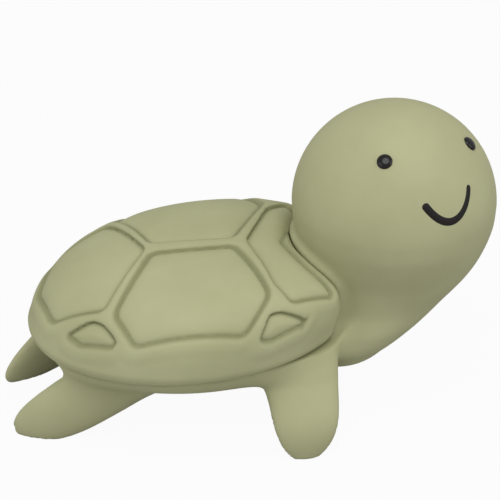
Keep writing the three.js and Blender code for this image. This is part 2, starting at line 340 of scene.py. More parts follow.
@dataclass(frozen=True)
class HeadAndNeck:
    """Head ball that flows down into a neck and chest given as level sections.

    Attributes:
        centre: Middle of the head.
        radius: Radius of the head.
        sections: Height, middle along X, half length and half width of each level up to the head's middle.
        rows: Levels in the fine table drawn from the sections.
        steepest: Largest spread per rise that the distance allows for.
        base_rounding: Rounding of the chest's lower edge.
    """

    centre: tuple[float, float, float] = (50.25, 0.0, 49.45)
    radius: float = 24.9
    sections: tuple[tuple[float, float, float, float], ...] = (
        (9.8, 32.6, 3.4, 4.6),
        (10.6, 33.2, 6.6, 9.4),
        (12.6, 34.6, 10.6, 14.8),
        (17.0, 37.2, 14.1, 18.8),
        (22.0, 41.0, 17.0, 20.0),
        (28.0, 45.6, 19.2, 19.7),
        (34.0, 49.0, 21.2, 21.0),
        (41.0, 50.1, 23.55, 23.4),
        (45.0, 50.25, 24.5, 24.5),
        (49.45, 50.25, 24.9, 24.9),
    )
    rows: int = 240
    steepest: float = 3.0
    base_rounding: float = 1.0

    def table(self) -> tuple[Array, Array]:
        """Draw the sections out into a fine smooth table of levels.

        Returns:
            Heights, then middle, half length and half width at each.
        """
        given = np.array(self.sections)
        z, values = given[:, 0], given[:, 1:]
        slopes = np.gradient(values, z, axis=0)
        fine = np.linspace(z[0], z[-1], self.rows)
        k = np.clip(np.searchsorted(z, fine, side="right") - 1, 0, len(z) - 2)
        span = z[k + 1] - z[k]
        t = ((fine - z[k]) / span)[:, None]
        h = span[:, None]
        smooth = (
            (2 * t**3 - 3 * t**2 + 1) * values[k]
            + (t**3 - 2 * t**2 + t) * h * slopes[k]
            + (3 * t**2 - 2 * t**3) * values[k + 1]
            + (t**3 - t**2) * h * slopes[k + 1]
        )
        return fine, smooth

    def distance(self, p: Array) -> Array:
        """Distance to the outside of head, neck and chest.

        Args:
            p: Points in millimetres.

        Returns:
            Signed distance, negative inside.
        """
        levels, values = self.table()
        z = p[:, 2]
        middle, half_x, half_y = (np.interp(z, levels, values[:, i]) for i in range(3))
        spread = np.gradient(values[:, 1:].mean(axis=1), levels)
        lean = np.interp(z, levels, np.clip(spread, 0, self.steepest))
        neck = oval_distance(p[:, 0] - middle, p[:, 1], half_x, half_y) / np.sqrt(1 + lean**2)
        neck = smooth_max(neck, levels[0] - z, self.base_rounding)
        ball = np.linalg.norm(p - np.array(self.centre), axis=1) - self.radius
        return np.where(z > self.centre[2], ball, neck)


@dataclass(frozen=True)
class Flipper:
    """Paddle flipper along a path of stations.

    Attributes:
        stations: Points along the middle on the left side, from inside the body to the tip.
        broad: Direction that lies in the paddle's flat.
        half_width: Half width of the paddle.
        half_thickness: Half thickness at the root.
        root_flare: Widening at the root.
        root_share: Share of the length that the widening takes.
        thinning: Share of the thickness that is lost to the tip.
        tip_start: Share of the length where the paddle starts to round off.
        tip_power: Fullness of the rounding.
        margin: Room round the paddle within which distances are worked out.
        far_away: Distance given beyond that room.
        spine_points: Points that the path is drawn out to.
    """

    stations: tuple[tuple[float, float, float], ...]
    broad: tuple[float, float, float]
    half_width: float
    half_thickness: float
    root_flare: float = 1.55
    root_share: float = 0.55
    thinning: float = 0.35
    tip_start: float = 0.42
    tip_power: float = 2.1
    margin: float = 8.0
    far_away: float = 30.0
    spine_points: int = 48

    def spine(self) -> tuple[Array, Array]:
        """Sample a centripetal curve through the stations.

        Returns:
            Places along the curve and its directions there.
        """
        points = np.array(self.stations)
        points = np.vstack([2 * points[0] - points[1], points, 2 * points[-1] - points[-2]])
        knots = np.sqrt(np.linalg.norm(np.diff(points, axis=0), axis=1))
        places, directions = [], []
        for t in np.linspace(0, 1, self.spine_points):
            k = min(int(t * (len(points) - 3)), len(points) - 4)
            s = t * (len(points) - 3) - k
            a, b, c, d = points[k : k + 4]
            before, here, after = knots[k : k + 3]
            leave = ((b - a) / before - (c - a) / (before + here) + (c - b) / here) * here
            arrive = ((c - b) / here - (d - b) / (here + after) + (d - c) / after) * here
            bend = 2 * b - 2 * c + leave + arrive
            rise = -3 * b + 3 * c - 2 * leave - arrive
            places.append(b + leave * s + rise * s**2 + bend * s**3)
            directions.append(leave + 2 * rise * s + 3 * bend * s**2)
        directions = np.array(directions)
        return np.array(places), directions / np.linalg.norm(directions, axis=1, keepdims=True)

    @staticmethod
    def nearest(q: Array, places: Array) -> Array:
        """Find the nearest place on a line.

        Args:
            q: Points in millimetres.
            places: Line of places.

        Returns:
            Share along the line that lies nearest to each point.
        """
        closest = np.full(len(q), np.inf)
        t = np.zeros(len(q))
        count = len(places) - 1
        for k in range(count):
            step = places[k + 1] - places[k]
            share = np.clip((q - places[k]) @ step / (step @ step), 0, 1)
            gap = ((q - places[k] - share[:, None] * step) ** 2).sum(1)
            closer = gap < closest
            closest = np.where(closer, gap, closest)
            t = np.where(closer, (k + share) / count, t)
        return t

    def distance(self, p: Array, side: Side) -> Array:
        """Distance to the paddle on one side.

        Args:
            p: Points in millimetres.
            side: Side of the turtle.

        Returns:
            Signed distance, large where the paddle is far away.
        """
        places, along = self.spine()
        q = p * np.array([1, side.value, 1])
        room = self.half_width * self.root_flare + self.margin
        near = np.all((q > places.min(0) - room) & (q < places.max(0) + room), axis=1)
        result = np.full(len(p), self.far_away)
        if not near.any():
            return result
        q = q[near]
        t = self.nearest(q, places)
        share = np.linspace(0, 1, len(places))
        centre = np.stack([np.interp(t, share, places[:, i]) for i in range(3)], -1)
        direction = np.stack([np.interp(t, share, along[:, i]) for i in range(3)], -1)
        direction /= np.linalg.norm(direction, axis=1, keepdims=True)
        across = np.array(self.broad) - (direction @ np.array(self.broad))[:, None] * direction
        across /= np.linalg.norm(across, axis=1, keepdims=True)
        over = np.cross(direction, across)
        offset = q - centre
        a, b, ahead = ((offset * axis).sum(1) for axis in (across, over, direction))
        length = np.linalg.norm(np.diff(places, axis=0), axis=1).sum()
        flare = 1 + (self.root_flare - 1) * np.maximum(0, 1 - t / self.root_share) ** 2
        width = self.half_width * flare
        thickness = self.half_thickness * flare * (1 - self.thinning * t)
        past = t + np.where(t < 1, 0, ahead / length)
        run = np.maximum(0, (past - self.tip_start) / (1 - self.tip_start))
        level = (a / width) ** 2 + (b / thickness) ** 2 + run**self.tip_power - 1
        lengthwise = self.tip_power * run ** (self.tip_power - 1) / (1 - self.tip_start) / length
        steep = np.sqrt((2 * a / width**2) ** 2 + (2 * b / thickness**2) ** 2 + lengthwise**2)
        paddle = level / np.maximum(steep, 1 / width)
        root_end = 0.3
        result[near] = np.where(t > 0, paddle, np.maximum(paddle, -ahead - root_end))
        return result


@dataclass(frozen=True)
class Torso:
    """Shallow bowl from the flat belly up to the shell's seat."""

    belly: float = 15.0
    top: float = 21.5
    belly_half: tuple[float, float] = (27.0, 20.0)
    top_half: tuple[float, float] = (37.1, 30.3)
    edge: float = 2.4

    def distance(self, p: Array, wall: float = 0.0, draw_in: float = 0.0) -> Array:
        """Distance to the bowl, or to its inside.

        Args:
            p: Points in millimetres.
            wall: Rubber taken off the belly.
            draw_in: Rubber taken off the mouth.

        Returns:
            Signed distance, open at the top.
        """
        floor = self.belly + wall
        rise = np.clip((p[:, 2] - floor) / (self.top - floor), 0, 1)
        spread = np.sqrt(1 - (1 - rise) ** 2)
        half = [
            low - wall + (high - draw_in - low + wall) * spread
            for low, high in zip(self.belly_half, self.top_half)
        ]
        side = oval_distance(p[:, 0], p[:, 1], half[0], half[1])
        return smooth_max(side, floor - p[:, 2], self.edge)


@dataclass(frozen=True)
class PlateMap:
    """Signed distance to the moulded plates, on a flat chart of the dome.

    Attributes:
        outlines: Closed outlines of the plates on the chart, in millimetres.
        reach: Half size of the chart.
        step: Spacing of the stored distances.
    """

    outlines: tuple[Array, ...]
    reach: float = 52.0
    step: float = 0.15

    def distances(self) -> Array:
        """Work out the distance to the nearest plate all over the chart.

        Returns:
            Signed distances on a square grid, negative inside a plate.
        """
        axis = np.arange(-self.reach, self.reach, self.step)
        u, v = np.meshgrid(axis, axis, indexing="ij")
        nearest = np.full(u.shape, self.reach)
        for outline in self.outlines:
            squared = np.full(u.shape, self.reach**2)
            inside = np.zeros(u.shape, bool)
            for (ax, ay), (bx, by) in zip(outline, np.roll(outline, -1, axis=0)):
                ex, ey = bx - ax, by - ay
                share = np.clip(((u - ax) * ex + (v - ay) * ey) / max(ex * ex + ey * ey, 1e-9), 0, 1)
                squared = np.minimum(squared, (u - ax - share * ex) ** 2 + (v - ay - share * ey) ** 2)
                if ay != by:
                    spans = (ay > v) != (by > v)
                    inside ^= spans & (u < ax + (v - ay) * ex / ey)
            distance = np.sqrt(squared)
            nearest = np.minimum(nearest, np.where(inside, -distance, distance))
        return nearest

    def look_up(self, stored: Array, place: Array) -> Array:
        """Read stored distances between the points of their grid.

        Args:
            stored: Distances on the grid.
            place: Places on the chart.

        Returns:
            Distance at each place.
        """
        spot = np.clip((place + self.reach) / self.step, 0, len(stored) - 1.001)
        cell = spot.astype(int)
        share = spot - cell
        i, j = cell.T
        s, t = share.T
        low = stored[i, j] * (1 - s) + stored[i + 1, j] * s
        high = stored[i, j + 1] * (1 - s) + stored[i + 1, j + 1] * s
        return low * (1 - t) + high * t


def rounded_outline(corners: Array, radius: float, arc_steps: int = 6, edge_steps: int = 5) -> Array:
    """Round the corners of a plan outline.

    Args:
        corners: Corners in order.
        radius: Distance from each corner where its rounding starts.
        arc_steps: Points on each rounding.
        edge_steps: Points on each straight edge.

    Returns:
        Points along the rounded outline.
    """
    points = []
    for i, corner in enumerate(corners):
        before, after = corners[i - 1], corners[(i + 1) % len(corners)]
        start = corner + (before - corner) / np.linalg.norm(before - corner) * radius
        end = corner + (after - corner) / np.linalg.norm(after - corner) * radius
        for t in np.linspace(0, 1, arc_steps):
            points.append((1 - t) ** 2 * start + 2 * t * (1 - t) * corner + t**2 * end)
        following = after + (corner - after) / np.linalg.norm(corner - after) * radius
        for t in np.linspace(0, 1, edge_steps)[1:-1]:
            points.append(end + (following - end) * t)
    return np.array(points)


@dataclass
class Carapace:
    """Domed shell with moulded plates between raised bands, seated on the torso's rim."""

    head: HeadAndNeck = field(default_factory=HeadAndNeck)
    slope: Slope = field(default_factory=Slope)
    # Dome, brim and seat
    half: tuple[float, float] = (40.0, 33.2)
    rim: float = 25.0
    height: float = 17.4
    lean: float = 6.0
    fullness: float = 3.0
    seat: float = 21.8
    brim_overhang: float = 2.6
    mouth_inset: float = 5.6
    wall: float = 2.6
    neck_gap: float = 1.5
    neck_rounding: float = 5.0
    seat_rounding: float = 0.6
    arc_steps: int = 400
    step: float = 0.42
    # Moulded relief: plates with a step at the edge, bands raised between them
    relief_reach: float = 2.5
    edge_width: float = 0.45
    edge_drop: float = 1.1
    plate_drop: float = 0.14
    pillow: float = 1.6
    band_rise: float = 0.22
    band_edge: float = 1.1
    band_half: float = 1.8
    band_fall: float = 2.5
    plate_outset: float = 0.45
    # Where the painted shade lies in the creases: its offset inside the plates' edges and its width
    crease_inset: float = 0.4
    crease_width: float = 0.5
    # Plates as corners on the chart, right half or right side only
    pattern_turn: float = -7.3
    pattern_pivot: tuple[float, float] = (-13.0, 0.0)
    flank: Outline = (
        (-16.0, -2.0), (4.2, -4.2), (10.6, -24.3), (5.4, -34.1), (-22.1, -30.6), (-26.4, -20.8),
    )
    front: Outline = (
        (16.6, -3.8), (20.9, -14.2), (24.3, -18.2), (29.8, -22.3), (16.6, -26.3), (11.9, -20.8), (7.6, -2.6),
    )
    rear: Outline = ((-17.1, 0.5), (-28.6, -18.2), (-41.9, -11.8), (-44.4, 4.0))
    rear_corner: Outline = (
        (-38.7, -18.5), (-31.6, -19.5), (-29.2, -22.0), (-26.6, -27.3), (-27.9, -28.2), (-36.1, -23.1),
    )
    front_corner: Outline = (
        (10.2, -34.9), (10.9, -29.5), (13.9, -28.8), (22.4, -29.6), (22.3, -30.6), (13.8, -35.1),
    )
    rounding: float = 1.9
    small_rounding: float = 1.4

    def __post_init__(self) -> None:
        """Store the arc lengths of the dome and the distances to its plates."""
        self.angles = np.linspace(0, math.pi / 2, self.arc_steps)
        power = 2 / self.fullness
        reach, rise = np.cos(self.angles).clip(0) ** power, np.sin(self.angles).clip(0) ** power
        mean = sum(self.half) / 2
        steps = np.hypot(np.diff(mean * reach), np.diff(self.height * rise))
        self.arcs = np.concatenate([[0], np.cumsum(steps[::-1])])[::-1]
        self.plates = PlateMap(tuple(self.plate_outlines()))
        self.plate_distances = self.plates.distances()

    def chart(self, p: Array) -> Array:
        """Unroll places on the dome by their arc length from the top.

        Args:
            p: Points in millimetres, with the shell level.

        Returns:
            Places on the chart.
        """
        rise = np.clip((p[:, 2] - self.rim) / self.height, 0, 1)
        along = (p[:, 0] - self.lean * rise) / self.half[0]
        across = p[:, 1] / self.half[1]
        spread = np.maximum(np.hypot(along, across), 1e-6)
        angle = np.arctan2(rise ** (self.fullness / 2), spread ** (self.fullness / 2))
        arc = np.interp(angle, self.angles, self.arcs)
        stretch = arc / spread / (sum(self.half) / 2)
        return np.column_stack([along * self.half[0], across * self.half[1]]) * stretch[:, None]

    def mirrored(self, corners: Array) -> Array:
        """Mirror places on the chart in the plates' own midline.

        Args:
            corners: Places on the chart.

        Returns:
            The mirrored places.
        """
        turn = math.radians(self.pattern_turn)
        along = np.array([math.cos(turn), math.sin(turn)])
        q = corners - np.array(self.pattern_pivot)
        return np.array(self.pattern_pivot) + 2 * np.outer(q @ along, along) - q

    def plate_outlines(self) -> list[Array]:
        """Outline all plates on the chart.

        Returns:
            Those across the midline, then each right one with its left one.
        """
        outlines = []
        for corners in (np.array(self.front), np.array(self.rear)):
            whole = np.vstack([corners, self.mirrored(corners[1:-1])[::-1]])
            outlines.append(rounded_outline(whole, self.rounding))
        for corners, radius in (
            (self.flank, self.rounding),
            (self.rear_corner, self.small_rounding),
            (self.front_corner, self.small_rounding),
        ):
            right = rounded_outline(np.array(corners), radius)
            outlines += [right, self.mirrored(right)]
        return outlines

    def plate_distance(self, p: Array) -> Array:
        """Distance to the nearest plate's edge along the dome, negative inside a plate."""
        return self.plates.look_up(self.plate_distances, self.chart(p)) - self.plate_outset

    def relief(self, p: Array) -> Array:
        """Raise rounded bands and press in pillowed plates with a step at each edge.

        Args:
            p: Points in millimetres, with the shell level.

        Returns:
            Height of the relief over the plain dome.
        """
        s = self.plate_distance(p)
        depth = self.plate_drop + self.edge_drop * np.exp(np.minimum(s, 0) / self.pillow)
        plate = smooth_step(-s / self.edge_width) * depth
        band = self.band_rise * smooth_step(s / self.band_edge)
        band *= 1 - smooth_step((s - self.band_half) / self.band_fall)
        return band - plate

    def dome(self, p: Array, half: tuple[float, float], height: float) -> Array:
        """Distance to a leaning dome over the rim.

        Args:
            p: Points in millimetres, with the shell level.
            half: Half length and half width at the rim.
            height: Height over the rim.

        Returns:
            Signed distance, close to true near the dome.
        """
        n = self.fullness
        rise = np.maximum((p[:, 2] - self.rim) / height, 0)
        along = (p[:, 0] - self.lean * rise) / half[0]
        across = p[:, 1] / half[1]
        spread = np.maximum(np.hypot(along, across), 1e-6)
        level = np.maximum((spread**n + rise**n) ** (1 / n), 1e-6)
        outward = (spread / level) ** (n - 1)
        upward = (rise / level) ** (n - 1)
        slope_x = outward * along / spread / half[0]
        slope_y = outward * across / spread / half[1]
        slope_z = (upward - outward * along / spread * self.lean / half[0]) / height
        slope_z = np.where(rise > 0, slope_z, 0)
        return (level - 1) / np.sqrt(slope_x**2 + slope_y**2 + slope_z**2)

    def outside(self, q: Array) -> Array:
        """Distance to the plain outside of dome and brim.

        Args:
            q: Points in millimetres, with the shell level.

        Returns:
            Signed distance, negative inside.
        """
        z = q[:, 2]
        drop = np.clip((self.rim - z) / (self.rim - self.seat), 0, 1)
        tuck = self.brim_overhang * (1 - np.sqrt(1 - drop**2))
        brim = oval_distance(q[:, 0], q[:, 1], self.half[0] - tuck, self.half[1] - tuck)
        return np.where(z > self.rim, self.dome(q, self.half, self.height), brim)

    def distance(self, p: Array) -> Array:
        """Distance to the hollow shell.

        Args:
            p: Points in millimetres.

        Returns:
            Signed distance, negative inside the rubber.
        """
        q = self.slope.level(p)
        outer = self.outside(q)
        near = np.abs(outer) < self.relief_reach
        outer[near] -= self.relief(q[near])
        outer = smooth_max(outer, self.seat - q[:, 2], self.seat_rounding)
        outer = smooth_max(outer, self.neck_gap - self.head.distance(p), self.neck_rounding)
        inner_half = (self.half[0] - self.mouth_inset, self.half[1] - self.mouth_inset)
        inner = self.dome(q, inner_half, self.height - self.wall)
        return np.maximum(outer, -inner)

    def build(self) -> bpy.types.Object:
        """Mesh the shell and hang it on the turtle.

        Returns:
            The new shell.
        """
        net = SurfaceNet(low=(-42.0, -35.0, 19.0), high=(44.0, 35.0, 46.0), step=self.step)
        shell = net.build("plated_shell", self.distance)
        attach(shell, "turtle")
        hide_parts("carapace")
        self.mark_creases(shell.data)
        return shell

    def mark_creases(self, mesh: bpy.types.Mesh) -> None:
        """Store on each vertex how close it lies to the foot of a plate's edge, as the mask of the painted
        shade in the creases.

        Args:
            mesh: Mesh of the shell.
        """
        points = np.empty(3 * len(mesh.vertices))
        mesh.vertices.foreach_get("co", points)
        points = points.reshape(-1, 3) / MM - np.array([FRAME_SHIFT, 0, 0])
        s = self.plate_distance(self.slope.level(points))
        crease = np.exp(-(((s + self.crease_inset) / self.crease_width) ** 2))
        stored = mesh.attributes.new(CREASE, "FLOAT", "POINT")
        stored.data.foreach_set("value", crease.astype(np.float32))


@dataclass
class BodySkin:
    """One hollow rubber moulding: torso, chest, neck, head and flippers."""

    head: HeadAndNeck
    shell: Carapace
    slope: Slope = Slope(belly=17.0)
    inner_slope: Slope = Slope(belly=17.6)
    torso: Torso = field(default_factory=Torso)
    front: Flipper = Flipper(
        stations=((21.4, 16.0, 23.4), (22.6, 25.5, 15.9), (22.6, 32.3, 7.9), (21.9, 34.2, -0.8)),
        broad=(1.0, 0.0, 0.05),
        half_width=8.4,
        half_thickness=3.6,
    )
    rear: Flipper = Flipper(
        stations=((-10.0, 13.0, 23.4), (-23.0, 15.3, 14.4), (-34.5, 14.3, 6.9), (-45.4, 11.3, 0.9)),
        broad=(0.05, 0.18, -0.98),
        half_width=7.4,
        half_thickness=4.4,
    )
    wall: float = 2.6
    mouth_draw: float = 1.7
    shoulder_fillet: float = 6.0
    neck_fillet: float = 5.0
    mouth_top: float = 25.8
    lip_top: float = 23.8
    lip_half: tuple[float, float] = (34.1, 27.3)
    # Bead in the groove between neck and shell
    collar_width: float = 1.45
    collar_drop: float = 1.9
    collar_depth: float = 4.5
    collar_rounding: float = 0.8
    collar_fillet: float = 3.0
    step: float = 0.7

    def outside(self, p: Array) -> Array:
        """Distance to the outside of the moulding.

        Args:
            p: Points in millimetres.

        Returns:
            Signed distance, negative inside.
        """
        q = self.slope.level(p)
        low = self.torso.distance(q)
        for flipper in (self.front, self.rear):
            for side in Side:
                low = smooth_min(low, flipper.distance(q, side), self.shoulder_fillet)
        low = np.maximum(low, q[:, 2] - self.torso.top)
        lip = oval_distance(q[:, 0], q[:, 1], self.lip_half[0], self.lip_half[1])
        lip_height = np.abs(q[:, 2] - self.torso.top) - self.lip_top + self.torso.top
        low = np.minimum(low, np.maximum(lip, lip_height))
        joined = smooth_min(low, self.head.distance(p), self.neck_fillet)
        joined = smooth_min(joined, self.collar(p), self.collar_fillet)
        return np.maximum(joined, -p[:, 2])

    def collar(self, p: Array) -> Array:
        """Distance to the low bead that closes the groove between neck and shell.

        Args:
            p: Points in millimetres.

        Returns:
            Signed distance, negative inside.
        """
        q = self.shell.slope.level(p)
        cover = self.shell.outside(q)
        beside = self.head.distance(p) - self.collar_width
        bead = smooth_max(beside, cover + self.collar_drop, self.collar_rounding)
        return np.maximum(bead, np.maximum(-cover - self.collar_depth, self.shell.seat - q[:, 2]))

    def distance(self, p: Array) -> Array:
        """Distance to the hollow moulding.

        Args:
            p: Points in millimetres.

        Returns:
            Signed distance, negative inside the rubber.
        """
        q = self.inner_slope.level(p)
        bowl = self.torso.distance(q, self.wall, self.wall + self.mouth_draw)
        bowl = np.maximum(bowl, q[:, 2] - self.mouth_top)
        hollow = np.minimum(bowl, self.head.distance(p) + self.wall)
        return np.maximum(self.outside(p), -hollow)

    def build(self) -> bpy.types.Object:
        """Mesh the moulding and hang it on the turtle.

        Returns:
            The new skin.
        """
        net = SurfaceNet(low=(-47.0, -38.0, -1.0), high=(77.0, 38.0, 76.0), step=self.step)
        skin = net.build("skin_moulding", self.distance)
        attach(skin, "turtle")
        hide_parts("body_skin")
        return skin


def skin_rings(name: str, rings: Array) -> bpy.types.Object:
    """Close a stack of rings with a point at either end and make it an object.

    Args:
        name: Name of the new piece.
        rings: Points as rings by segments by three, turning counter-clockwise about the stack.

    Returns:
        The new object.
    """
    count, segments = rings.shape[:2]
    ends = rings[[0, -1]].mean(axis=1)
    points = np.vstack([rings.reshape(-1, 3), ends])
    here = np.arange(segments)
    there = (here + 1) % segments
    faces = []
    for k in range(count - 1):
        a, b = k * segments, (k + 1) * segments
        faces += [np.stack([a + here, a + there, b + there], -1)]
        faces += [np.stack([a + here, b + there, b + here], -1)]
    first, last = count * segments, count * segments + 1
    top = (count - 1) * segments
    faces += [np.stack([np.full(segments, first), there, here], -1)]
    faces += [np.stack([np.full(segments, last), top + here, top + there], -1)]
    return mesh_object(name, points, np.concatenate(faces))


@dataclass
class Face:
    """Eyes and smile inlaid in the head, looking to the turtle's right."""

    head: HeadAndNeck = field(default_factory=HeadAndNeck)
    # Angles are in degrees, sizes in millimetres
    yaw: float = -67.3
    eye_spread: float = 45.2
    eye_rise: float = 47.0
    eye_tilt: float = 2.6
    eye_radius: float = 1.87
    eye_depth: float = 1.0
    eye_crown: float = 0.85
    eye_fullness: float = 0.9
    eye_foot: float = 0.4
    eye_rings: int = 18
    eye_segments: int = 56
    smile_aside: float = -0.75
    smile_spread: float = 17.9
    smile_low: float = 13.4
    smile_end: float = 28.1
    smile_tilt: float = 1.5
    smile_half_width: float = 1.28
    smile_taper: float = 0.28
    smile_half_depth: float = 0.65
    smile_proud: float = 0.2
    smile_round: float = 0.085
    smile_rings: int = 72
    smile_segments: int = 24

    def direction(self, aside: float, rise: float) -> Array:
        """Give a direction from the head's middle.

        Args:
            aside: Angle round from the face's middle, in degrees.
            rise: Angle above level, in degrees.

        Returns:
            Direction of unit length.
        """
        yaw, up = math.radians(self.yaw + aside), math.radians(rise)
        return np.array([math.cos(up) * math.cos(yaw), math.cos(up) * math.sin(yaw), math.sin(up)])

    def eye(self, name: str, side: Side) -> bpy.types.Object:
        """Turn one domed eye and set it in the head.

        Args:
            name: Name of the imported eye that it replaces.
            side: Side of the face.

        Returns:
            The new eye.
        """
        out = self.direction(side.value * self.eye_spread, self.eye_rise - side.value * self.eye_tilt)
        across = np.cross([0, 0, 1], out)
        across /= np.linalg.norm(across)
        over = np.cross(out, across)
        profile = [(self.eye_foot * self.eye_radius, -self.eye_depth), (self.eye_radius, -self.eye_depth)]
        top = 0.96 * math.pi / 2
        for angle in np.linspace(0, top, self.eye_rings):
            height = self.eye_crown * math.sin(angle) ** self.eye_fullness
            profile.append((self.eye_radius * math.cos(angle), height))
        turn = np.linspace(0, 2 * math.pi, self.eye_segments, endpoint=False)
        base = np.array(self.head.centre) + out * self.head.radius
        rings = [
            base + out * height + radius * (np.outer(np.cos(turn), across) + np.outer(np.sin(turn), over))
            for radius, height in profile
        ]
        lens = skin_rings(f"{name}_lens", np.array(rings))
        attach(lens, "turtle")
        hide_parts(name)
        return lens

    def smile(self) -> bpy.types.Object:
        """Sweep the smile's bead along the head, round at both ends.

        Returns:
            The new smile.
        """
        centre = np.array(self.head.centre)
        reach = self.head.radius + self.smile_proud - self.smile_half_depth

        def place(s: float) -> Array:
            """Middle of the bead at a share from the middle of the smile."""
            rise = self.smile_low + (self.smile_end - self.smile_low) * s * s + self.smile_tilt * s
            return centre + reach * self.direction(self.smile_aside + self.smile_spread * s, rise)

        turn = np.linspace(0, 2 * math.pi, self.smile_segments, endpoint=False)
        rings = []
        reached = 0.985
        nudge = 0.01
        smallest = 0.002
        for s in np.sin(np.linspace(-reached, reached, self.smile_rings) * math.pi / 2):
            along = place(s + nudge) - place(s - nudge)
            along /= np.linalg.norm(along)
            out = place(s) - centre
            out -= along * (out @ along)
            out /= np.linalg.norm(out)
            across = np.cross(out, along)
            end = min(1.0, (1 - abs(s)) / self.smile_round)
            swell = math.sqrt(max(1 - (1 - end) ** 2, smallest))
            half_width = self.smile_half_width * (1 - self.smile_taper * max(s, 0))
            ring = np.outer(np.cos(turn) * half_width, across)
            ring += np.outer(np.sin(turn) * self.smile_half_depth, out)
            rings.append(place(s) + swell * ring)
        bead = skin_rings("smile_bead", np.array(rings))
        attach(bead, "turtle")
        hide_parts("mouth")
        return bead


@dataclass(frozen=True)
class Grain:
    """Shader group that gives a moulded surface cloudy colour, uneven sheen, fine grain and painted shade in
    its creases.
    """

    name: str = "moulded_grain"
    # Colour multiplied in at the creases: painted shade
    painted_crease_shade: Colour = (0.6, 0.61, 0.54, 1.0)

    def group(self) -> bpy.types.ShaderNodeTree:
        """Make the group, with its inputs and outputs named.

        Returns:
            The new node group.
        """
        tree = bpy.data.node_groups.new(self.name, "ShaderNodeTree")
        taken_in = ("Light", "Dark", "Cloud Scale", "Grain Scale", "Smoothest", "Roughest", "Crease")
        put_out = ("Colour", "Roughness", "Height")
        colours = ("Light", "Dark", "Colour")
        for way, names in (("INPUT", taken_in), ("OUTPUT", put_out)):
            for name in names:
                kind = "NodeSocketColor" if name in colours else "NodeSocketFloat"
                tree.interface.new_socket(name=name, in_out=way, socket_type=kind)
        nodes, links = tree.nodes, tree.links
        given, taken = nodes.new("NodeGroupInput"), nodes.new("NodeGroupOutput")
        place = nodes.new("ShaderNodeTexCoord")
        cloud, grain = nodes.new("ShaderNodeTexNoise"), nodes.new("ShaderNodeTexNoise")
        cloud.inputs["Detail"].default_value = 4.0
        grain.inputs["Detail"].default_value = 3.0
        for texture, scale in ((cloud, "Cloud Scale"), (grain, "Grain Scale")):
            links.new(place.outputs["Object"], texture.inputs["Vector"])
            links.new(given.outputs[scale], texture.inputs["Scale"])
        spread = nodes.new("ShaderNodeMapRange")
        spread.inputs["From Min"].default_value = 0.3
        spread.inputs["From Max"].default_value = 0.7
        links.new(cloud.outputs["Fac"], spread.inputs["Value"])
        tint = nodes.new("ShaderNodeMix")
        tint.data_type = "RGBA"
        links.new(spread.outputs["Result"], tint.inputs["Factor"])
        links.new(given.outputs["Dark"], tint.inputs["A"])
        links.new(given.outputs["Light"], tint.inputs["B"])
        sheen = nodes.new("ShaderNodeMapRange")
        links.new(grain.outputs["Fac"], sheen.inputs["Value"])
        links.new(given.outputs["Smoothest"], sheen.inputs["To Min"])
        links.new(given.outputs["Roughest"], sheen.inputs["To Max"])
        # Painted shade: the colour is multiplied darker where the Crease input is high
        painted_crease_shade = nodes.new("ShaderNodeMix")
        painted_crease_shade.data_type = "RGBA"
        painted_crease_shade.blend_type = "MULTIPLY"
        painted_crease_shade.inputs["B"].default_value = self.painted_crease_shade
        links.new(given.outputs["Crease"], painted_crease_shade.inputs["Factor"])
        links.new(tint.outputs["Result"], painted_crease_shade.inputs["A"])
        links.new(painted_crease_shade.outputs["Result"], taken.inputs["Colour"])
        links.new(sheen.outputs["Result"], taken.inputs["Roughness"])
        links.new(grain.outputs["Fac"], taken.inputs["Height"])
        return tree


@dataclass(frozen=True)
class Finish:
    """Look of one material slot.

    Attributes:
        name: Name of the material.
        light: Lighter colour of the cloudiness, linear.
        dark: Darker colour of the cloudiness, linear.
        roughness: Lowest and highest roughness.
        cloud_scale: Scale of the cloudiness, per metre.
        grain_scale: Scale of the fine grain, per metre.
        bump: Strength of the grain's bump.
        grain_depth: Depth of the grain in metres.
        metallic: Share of metal.
        coat: Weight of the clear coat.
        specular: Level of the surface's mirror.
        creased: Whether the mesh carries a crease mask, with shade painted darker in the creases.
    """

    name: str
    light: Colour
    dark: Colour
    roughness: tuple[float, float]
    cloud_scale: float = 60.0
    grain_scale: float = 1500.0
    bump: float = 0.05
    grain_depth: float = 0.0004
    metallic: float = 0.0
    coat: float = 0.0
    specular: float = 0.5
    creased: bool = False

    def material(self, grain: bpy.types.ShaderNodeTree) -> bpy.types.Material:
        """Make the material round the shared grain group.

        Args:
            grain: Group that every finish shares.

        Returns:
            The new material.
        """
        made = bpy.data.materials.new(self.name)
        made.use_nodes = True
        nodes, links = made.node_tree.nodes, made.node_tree.links
        shader = nodes["Principled BSDF"]
        shader.inputs["Metallic"].default_value = self.metallic
        shader.inputs["Coat Weight"].default_value = self.coat
        shader.inputs["Specular IOR Level"].default_value = self.specular
        surface = nodes.new("ShaderNodeGroup")
        surface.node_tree = grain
        for socket, value in (
            ("Light", self.light),
            ("Dark", self.dark),
            ("Cloud Scale", self.cloud_scale),
            ("Grain Scale", self.grain_scale),
            ("Smoothest", self.roughness[0]),
            ("Roughest", self.roughness[1]),
        ):
            surface.inputs[socket].default_value = value
        bump = nodes.new("ShaderNodeBump")
        bump.inputs["Strength"].default_value = self.bump
        bump.inputs["Distance"].default_value = self.grain_depth
        # Painted shade in the creases, from the stored crease mask
        if self.creased:
            crease = nodes.new("ShaderNodeAttribute")
            crease.attribute_name = CREASE
            links.new(crease.outputs["Fac"], surface.inputs["Crease"])
        links.new(surface.outputs["Colour"], shader.inputs["Base Color"])
        links.new(surface.outputs["Roughness"], shader.inputs["Roughness"])
        links.new(surface.outputs["Height"], bump.inputs["Height"])
        links.new(bump.outputs["Normal"], shader.inputs["Normal"])
        return made


